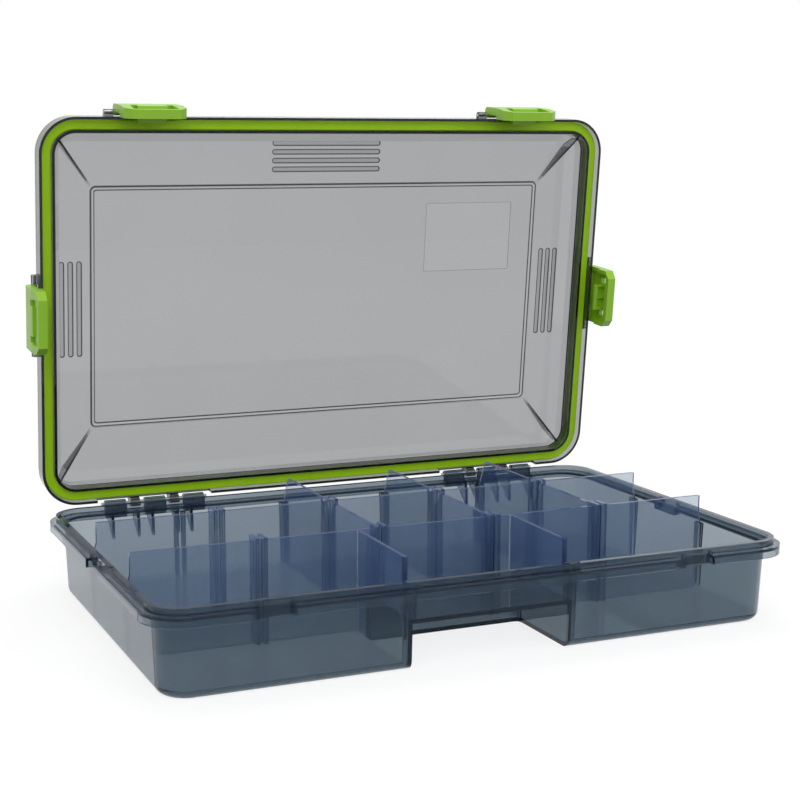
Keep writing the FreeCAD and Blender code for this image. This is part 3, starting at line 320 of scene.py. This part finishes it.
# %% Green ABS
def satin_abs(name, light, dark):
    """Opaque plastic with a satin grain, between two shades."""
    material, output = new_material(name)
    place = add_node(material, "ShaderNodeTexCoord").outputs["Object"]
    patch = add_node(material, "ShaderNodeTexNoise", None, Vector=place, Scale=1 / (15.0 * MM))
    tint = add_node(material, "ShaderNodeMix", {"data_type": "RGBA"}, _0=patch.outputs["Fac"],
                    _6=colour(light), _7=colour(dark))
    grain = add_node(material, "ShaderNodeTexNoise", None, Vector=place, Scale=1 / (0.5 * MM))
    shine = add_node(material, "ShaderNodeMapRange", None, _0=grain.outputs["Fac"], _3=0.30, _4=0.42)
    skin = add_node(material, "ShaderNodeBump", None, Strength=0.12, Distance=0.05 * MM,
                    Height=grain.outputs["Fac"])
    body = add_node(material, "ShaderNodeBsdfPrincipled", None, Base_Color=tint.outputs[2],
                    Roughness=shine.outputs[0], IOR=1.53, Normal=skin.outputs[0])
    material.node_tree.links.new(body.outputs[0], output.inputs["Surface"])
    return material


latch_abs = satin_abs("lime_abs", "#93C822", "#86BC1B")
print("latches:", latch_abs.name)

# %% [markdown]
# ## Steel pins
# The pins are cut from drawn stainless wire. Drawing leaves fine lines along the wire, about
# 0.15 mm apart, so the noise is stretched fifty times along it. The lines vary both tint and
# roughness, and the metal keeps the default IOR.

# %% Drawn stainless steel
def drawn_steel(name, along):
    """Wire whose drawing lines run along the axis that is stretched most."""
    material, output = new_material(name)
    place = add_node(material, "ShaderNodeTexCoord").outputs["Object"]
    drawn = add_node(material, "ShaderNodeMapping", None, Vector=place, Scale=along)
    lines = add_node(material, "ShaderNodeTexNoise", None, Vector=drawn.outputs[0], Scale=1 / (0.15 * MM),
                     Detail=1.0)
    tint = add_node(material, "ShaderNodeMix", {"data_type": "RGBA"}, _0=lines.outputs["Fac"],
                    _6=colour("#B9BBBD"), _7=colour("#A3A6A9"))
    shine = add_node(material, "ShaderNodeMapRange", None, _0=lines.outputs["Fac"], _3=0.22, _4=0.38)
    body = add_node(material, "ShaderNodeBsdfPrincipled", None, Base_Color=tint.outputs[2], Metallic=1.0,
                    Roughness=shine.outputs[0])
    material.node_tree.links.new(body.outputs[0], output.inputs["Surface"])
    return material


wire_along_x = drawn_steel("drawn_stainless_along_x", (0.02, 1, 1))
wire_along_z = drawn_steel("drawn_stainless_along_z", (1, 1, 0.02))
print("pins:", wire_along_x.name, wire_along_z.name)

# %% [markdown]
# ## Each piece gets its finish
# The name of a node says what it is, so a short list of beginnings and finishes is enough. The
# first beginning that fits counts, so the pins of the latches come before the latches.

# %% Give out the finishes
FINISHES = (
    ("tray", tray_smoke), ("lid", lid_smoke), ("gasket", ring_silicone), ("hinge_pin", wire_along_x),
    ("latch_pin_front", wire_along_x), ("latch_pin", wire_along_z), ("latch", latch_abs),
    ("long_divider", divider_smoke), ("cross_divider", divider_smoke), ("front_divider", divider_smoke),
)
for name, piece in nodes.items():
    finish = next(material for start, material in FINISHES if name.startswith(start))
    piece.data.materials.clear()
    piece.data.materials.append(finish)
print("finished:", ", ".join(sorted(nodes)))

# %% [markdown]
# ## Floor
# The box stands on a white floor in a white room. A bright diffuse floor alone would throw too much
# light up into the clear plastic. So the floor adds a plain diffuse grey, which takes the
# shadow, to a glow that only the camera, mirrors and clear plastic see. Together they render
# white, and the glow throws no light on the box. It is a little weaker near the box, where the
# lamps are strongest.

# %% Floor plate
FLOOR_SIZE = 6.0
FLOOR_DROP = 0.05 * MM
floor_mesh = bpy.data.meshes.new("floor")
half = FLOOR_SIZE / 2
corners = [(-half, -half, 0), (half, -half, 0), (half, half, 0), (-half, half, 0)]
floor_mesh.from_pydata(corners, [], [(0, 1, 2, 3)])
floor = bpy.data.objects.new("floor", floor_mesh)
floor.location.z = -FLOOR_DROP
bpy.context.scene.collection.objects.link(floor)
print("floor:", FLOOR_SIZE, "m square")

# %% [markdown]
# ## White of the floor
# A faint mottle of 90 mm keeps the grey from looking printed. The rays that see the glow are told
# apart by their kind, not by where the camera is, so the floor looks the same from every side.

# %% Floor material
NEAR_GLOW, FAR_GLOW = 0.4, 1.8  # metres from the middle of the box


def seen_ray(material):
    """1 for rays from the camera, from mirrors and through clear plastic, else 0."""
    path = add_node(material, "ShaderNodeLightPath")
    most = add_node(material, "ShaderNodeMath", {"operation": "MAXIMUM"}, _0=path.outputs["Is Camera Ray"],
                    _1=path.outputs["Is Glossy Ray"])
    return add_node(material, "ShaderNodeMath", {"operation": "MAXIMUM"}, _0=most.outputs[0],
                    _1=path.outputs["Is Transmission Ray"]).outputs[0]


floor_white, floor_output = new_material("matt_white_floor")
place = add_node(floor_white, "ShaderNodeTexCoord").outputs["Object"]
mottle = add_node(floor_white, "ShaderNodeTexNoise", None, Vector=place, Scale=1 / (90.0 * MM))
paper = add_node(floor_white, "ShaderNodeMix", {"data_type": "RGBA"}, _0=mottle.outputs["Fac"],
                 _6=colour("#7F8081"), _7=colour("#7C7D7F"))
matt = add_node(floor_white, "ShaderNodeBsdfDiffuse", None, Color=paper.outputs[2])
away = add_node(floor_white, "ShaderNodeVectorMath", {"operation": "LENGTH"}, _0=place)
far = add_node(floor_white, "ShaderNodeMapRange", None, _0=away.outputs["Value"], _1=NEAR_GLOW, _2=FAR_GLOW)
white = add_node(floor_white, "ShaderNodeMix", {"data_type": "RGBA"}, _0=far.outputs[0],
                 _6=colour("#E8E8E8"), _7=colour("#F0F0F0"))
glow = add_node(floor_white, "ShaderNodeEmission", None, Strength=seen_ray(floor_white),
                Color=white.outputs[2])
both = add_node(floor_white, "ShaderNodeAddShader", None, _0=matt.outputs[0], _1=glow.outputs[0])
floor_white.node_tree.links.new(both.outputs[0], floor_output.inputs["Surface"])
floor.data.materials.append(floor_white)
print("floor finish:", floor_white.name)

# %% [markdown]
# ## Room and lamps
# The room's light is the same from all sides, and seen directly the room is pure white. Three large
# soft lamps give the plastic its highlights and its form: the key from the front left, a weaker
# fill from the right, and one from above and behind that lights the floor of the tray. A studio
# has more of them, but with a room this bright three are enough.

# %% Room and lamps
ROOM_LIGHT = 0.62
room = bpy.data.worlds.new("white_room")
room.use_nodes = True
room.node_tree.nodes.clear()
shown = add_node(room, "ShaderNodeMapRange", None, _0=seen_ray(room), _3=ROOM_LIGHT, _4=1.0)
sky = add_node(room, "ShaderNodeBackground", None, Color=colour("#FFFFFF"), Strength=shown.outputs[0])
add_node(room, "ShaderNodeOutputWorld", None, Surface=sky.outputs[0])
bpy.context.scene.world = room


def soft_lamp(name, place, towards, size, watts):
    """A square area lamp that faces a point."""
    lamp = bpy.data.lights.new(name, "AREA")
    lamp.size = size
    lamp.energy = watts
    holder = bpy.data.objects.new(name, lamp)
    holder.location = place
    holder.rotation_euler = (Vector(towards) - Vector(place)).to_track_quat("-Z", "Y").to_euler()
    bpy.context.scene.collection.objects.link(holder)


BOX_MIDDLE = (0, 0, 0.1)
soft_lamp("key_lamp", (-0.9, -1.3, 1.7), BOX_MIDDLE, size=1.6, watts=17.0)
soft_lamp("fill_lamp", (1.5, -1.2, 0.9), BOX_MIDDLE, size=1.2, watts=7.0)
soft_lamp("top_lamp", (0.1, 0.6, 1.9), BOX_MIDDLE, size=1.0, watts=10.0)
print("room light", ROOM_LIGHT, "and three lamps")

# %% [markdown]
# ## Camera
# The picture was taken from the front left, a little above the box. The camera's place, the way it
# looks and its focal length were solved from the corners of the box, so they are given as such.
# The box is off the middle of the picture, and a small sideways shift of the lens does that.

# %% Camera
PICTURE_PIXELS = 800
FOCAL_PIXELS = 1570.1
CENTRE_PIXEL_X = 331.9
SENSOR_MM = 36.0
CAMERA_PLACE = (-0.3650, -0.7763, 0.2578)
TURN = math.radians(-22.45)
TILT = math.radians(9.34)
view_data = bpy.data.cameras.new("camera")
view_data.sensor_width = SENSOR_MM
view_data.lens = FOCAL_PIXELS * SENSOR_MM / PICTURE_PIXELS
view_data.shift_x = (PICTURE_PIXELS / 2 - CENTRE_PIXEL_X) / PICTURE_PIXELS
view_data.clip_end = 20.0
view = bpy.data.objects.new("camera", view_data)
view.location = CAMERA_PLACE
looks = Vector((-math.sin(TURN) * math.cos(TILT), math.cos(TURN) * math.cos(TILT), -math.sin(TILT)))
view.rotation_euler = looks.to_track_quat("-Z", "Y").to_euler()
bpy.context.scene.collection.objects.link(view)
bpy.context.scene.camera = view
print("camera:", round(view_data.lens, 1), "mm lens, shift", round(view_data.shift_x, 3))

# %% [markdown]
# ## Colour and light paths
# Standard colour shows each hex value as written. Light crosses two dozen plastic faces and more
# where the walls of tray, dividers and lid lie behind one another, and a path that is cut short
# there shows as a black spot. So it is followed for more steps than the usual twelve.

# %% Colour and light paths
LIGHT_STEPS = 28
scene = bpy.context.scene
scene.view_settings.view_transform = "Standard"
scene.cycles.use_denoising = True
scene.cycles.max_bounces = LIGHT_STEPS
scene.cycles.transmission_bounces = LIGHT_STEPS
scene.cycles.transparent_max_bounces = LIGHT_STEPS
print("light is followed for", LIGHT_STEPS, "steps")
